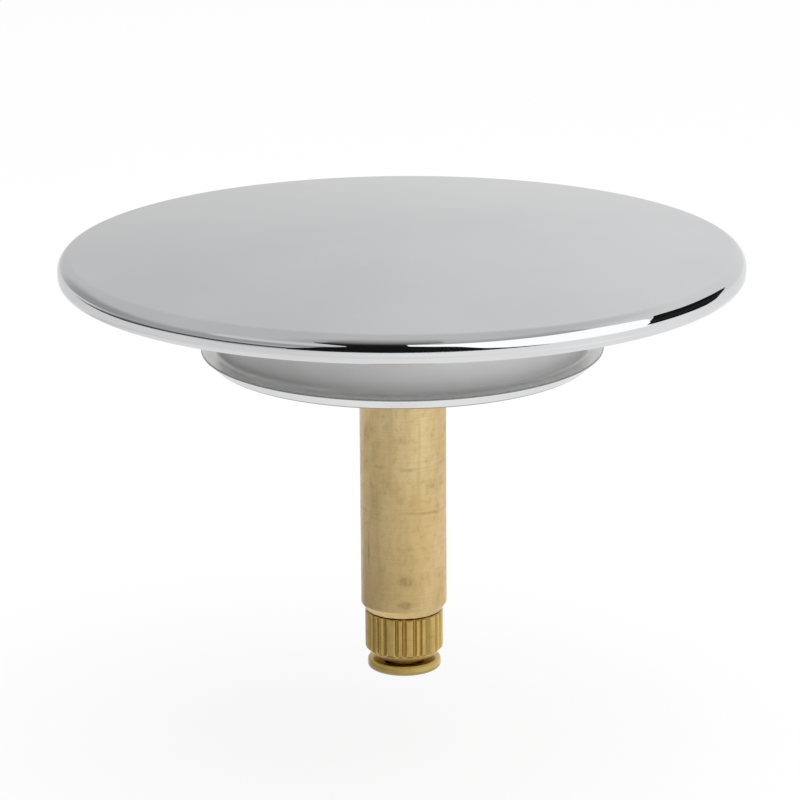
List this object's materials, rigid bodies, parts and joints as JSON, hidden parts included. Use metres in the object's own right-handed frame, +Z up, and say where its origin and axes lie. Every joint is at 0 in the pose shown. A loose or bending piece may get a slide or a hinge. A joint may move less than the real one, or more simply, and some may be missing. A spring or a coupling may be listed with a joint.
{
  "type": "drain stopper",
  "caption": "Bath drain stopper: domed chrome cover on a flanged neck with a rubber seal, brass stem, knurled lock nut and a screw foot that winds out to set the height.",
  "frame": {"origin": "on the stopper's axis, in the plane of the cover rim's lower edge, where it meets the drain's face", "axes": "+Z up along the axis, out of the dome; the stem points along -Z; X and Y are alike"},
  "size_m": [0.072, 0.072, 0.0484],
  "materials": {
    "polished_chrome": "mirror polished",
    "satin_chrome": "satin plated",
    "brass": "turned, slightly stained",
    "polished_brass": "bright turned",
    "rubber": "moulded pale, matt",
    "spring_steel": "oiled"
  },
  "bodies": {
    "stopper": {"cover_disc": "polished_chrome", "centre_post": "brass", "valve_body": "satin_chrome", "seal_ring": "rubber", "lock_washer": "spring_steel", "stem_sleeve": "brass"},
    "lock_nut": {"lock_nut": "polished_brass"},
    "stop_ring": {"stop_ring": "spring_steel"},
    "adjusting_screw": {"adjusting_screw": "polished_brass"}
  },
  "joints": [
    {"name": "nut_turn", "type": "hinge", "parent": "stopper", "child": "lock_nut", "pos_m": [0, 0, -0.0395], "axis": [0, 0, -1], "range_deg": [0, 200]},
    {"name": "screw_travel", "type": "slide", "parent": "stopper", "child": "stop_ring", "axis": [0, 0, -1], "range_m": [0, 0.009]},
    {"name": "screw_turn", "type": "hinge", "parent": "stop_ring", "child": "adjusting_screw", "pos_m": [0, 0, -0.0395], "axis": [0, 0, -1], "range_deg": [0, 4629]}
  ],
  "couplings": [
    {"joint": "screw_turn", "follows": "screw_travel", "rad_per_m": 8976}
  ]
}
